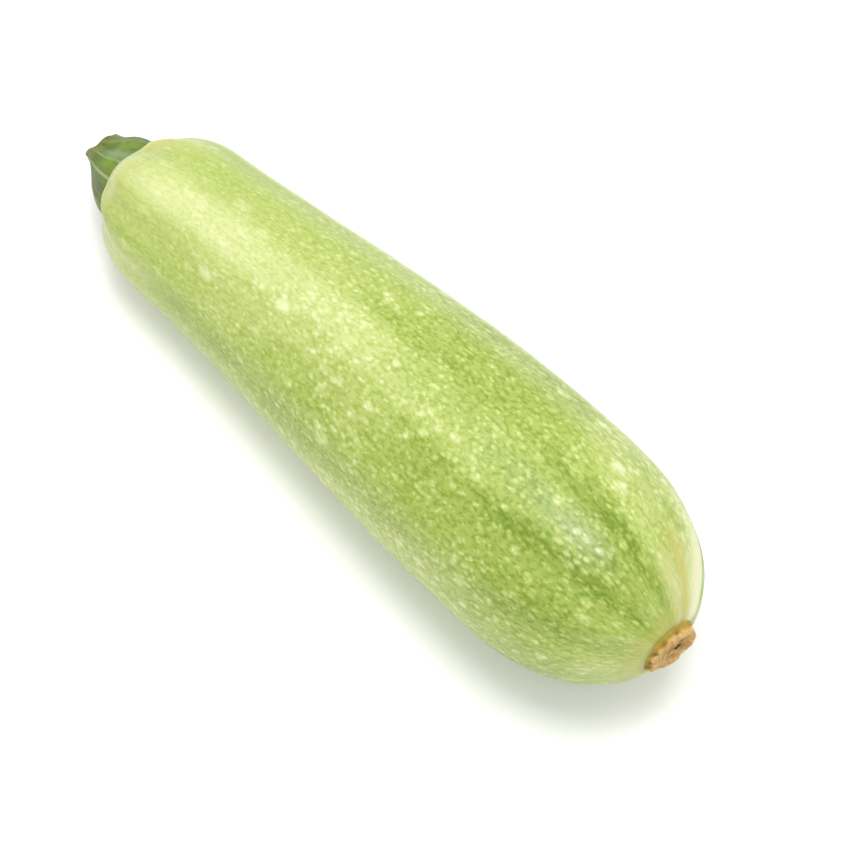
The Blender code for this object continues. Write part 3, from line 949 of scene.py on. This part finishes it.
def make_cork():
    material, bench, shader, spot = start_material("blossom_scar_cork")
    around, across, run = spot["X"], spot["Y"], spot["Z"]
    angle = maths("ARCTAN2", across, around) * (180 / math.pi)
    place = bench.add("ShaderNodeTexCoord")["Object"]
    mottle = noise(place, 700, 3)
    colour = blend_colours(step_up(mottle, 0.35, 0.66), CORK_SHADE, CORK_PALE)
    crumbs = step_up(noise(place, 2400, 2), 0.5, 0.72)
    colour = blend_colours(crumbs * 0.4, colour, CRUMB_PALE)
    wall = step_up(run, 0.37, 0.27)
    ochre = blend_colours(mottle, WALL_SHADE, WALL_PALE)
    wall_colour = blend_colours(step_up(run, 0.27, 0.17), ochre, FOOT_GOLD)
    colour = blend_colours(wall * 0.92, colour, wall_colour)
    hollow = step_up(run, 0.60, 0.70) * step_up(noise(place, 500, 2), 0.36, 0.6)
    colour = blend_colours(hollow * 0.75, colour, HOLLOW_BROWN)
    dark = step_up(run, 0.72, 0.86)
    olive = 0
    for notch, width, middle in SCAR_NOTCHES:
        here = bell(turn_from(angle, notch), width * 1.1) * bell(run - middle, 0.07)
        if middle > SCAR_WALL_ENDS:
            dark = maths("MAXIMUM", dark, step_up(here, 0.1, 0.9) * 0.85)
        else:
            olive = maths("MAXIMUM", here, olive)
    colour = blend_colours(olive * 0.75, colour, NOTCH_OLIVE)
    colour = blend_colours(dark * 0.92, colour, FIBRE_END_BROWN)
    height = mottle + crumbs * 0.4
    bump = bench.add("ShaderNodeBump", None, {"Strength": 0.5, "Distance": 0.25 * MM, "Height": height})
    tree = bench.tree
    tree.links.new(colour.socket, shader.inputs["Base Color"])
    tree.links.new((0.86 - crumbs * 0.1).socket, shader.inputs["Roughness"])
    tree.links.new(bump["Normal"].socket, shader.inputs["Normal"])
    shader.inputs["Specular IOR Level"].default_value = 0.3
    return material


scar_disc = make_scar(make_cork())
scar_disc.data.transform(lying @ seat_at(FRUIT_LENGTH))
face_outwards(scar_disc)
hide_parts("blossom_scar")
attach(scar_disc, "root")

# The floor: plain matt white board, wide enough to fill the view from every side, which the fruit lies on.
# A faint glow keeps its shadows as light as they are in a white studio.
FLOOR_HALF_WIDTH = 6.0
FLOOR_GLOW = 0.04
FLOOR_SHADE = (0.93, 0.93, 0.93, 1)
FLOOR_PALE = (0.96, 0.96, 0.96, 1)
floor_mesh = bpy.data.meshes.new("floor")
corners = [(-1, -1), (1, -1), (1, 1), (-1, 1)]
floor_points = [(FLOOR_HALF_WIDTH * x, FLOOR_HALF_WIDTH * y, 0) for x, y in corners]
floor_mesh.from_pydata(floor_points, [], [(0, 1, 2, 3)])
floor = bpy.data.objects.new("floor", floor_mesh)
bpy.context.scene.collection.objects.link(floor)
floor_material = bpy.data.materials.new("floor_white")
floor_material.use_nodes = True
floor_bench = Bench(floor_material.node_tree)
floor_shader = floor_material.node_tree.nodes["Principled BSDF"]
floor_place = floor_bench.add("ShaderNodeTexCoord")["Object"]
floor_grain = blend_colours(noise(floor_place, 900), FLOOR_SHADE, FLOOR_PALE)
floor_bench.tree.links.new(floor_grain.socket, floor_shader.inputs["Base Color"])
floor_shader.inputs["Roughness"].default_value = 0.7
floor_shader.inputs["Specular IOR Level"].default_value = 0.2
floor_shader.inputs["Emission Color"].default_value = (1, 1, 1, 1)
floor_shader.inputs["Emission Strength"].default_value = FLOOR_GLOW
floor_mesh.materials.append(floor_material)

# The light: a bright studio whose walls are dimmer than its ceiling, with one large soft box overhead, a
# little towards the far side.
WALL_LIGHT = 0.30
CEILING_LIGHT = 0.92
KEY_POWER = 8.4
KEY_SIZE = 0.5
KEY_PLACE = Vector((-0.04, 0.11, 1.2))
world = bpy.data.worlds.new("studio")
world.use_nodes = True
world_bench = Bench(world.node_tree)
towards = world_bench.add("ShaderNodeTexCoord")["Generated"]
height = world_bench.add("ShaderNodeSeparateXYZ", None, {"Vector": towards})["Z"]
brightness = WALL_LIGHT + CEILING_LIGHT * maths("MAXIMUM", height, 0)
world.node_tree.nodes["Background"].inputs["Color"].default_value = (1, 1, 1, 1)
world.node_tree.links.new(brightness.socket, world.node_tree.nodes["Background"].inputs["Strength"])
bpy.context.scene.world = world
key = bpy.data.objects.new("key_light", bpy.data.lights.new("key_light", "AREA"))
key.data.energy = KEY_POWER
key.data.size = KEY_SIZE
key.location = KEY_PLACE
key.rotation_euler = (-KEY_PLACE).to_track_quat("-Z", "Y").to_euler()
bpy.context.scene.collection.objects.link(key)

# The camera: high up, off the blossom end and to its near side. It looks at the fruit from the angle, and
# with the narrow view, that the photograph has.
CAMERA_PLACE = Vector((0.2094, -0.1949, 0.6943))
CAMERA_AZIMUTH = 44.655
CAMERA_ELEVATION = 67.637
LENS = 120
camera = bpy.data.objects.new("camera", bpy.data.cameras.new("camera"))
camera.data.lens = LENS
camera.location = CAMERA_PLACE
camera.rotation_euler = (math.radians(90 - CAMERA_ELEVATION), 0, math.radians(CAMERA_AZIMUTH))
bpy.context.scene.collection.objects.link(camera)
bpy.context.scene.camera = camera
bpy.context.scene.view_settings.view_transform = "Standard"

bpy.context.view_layer.update()
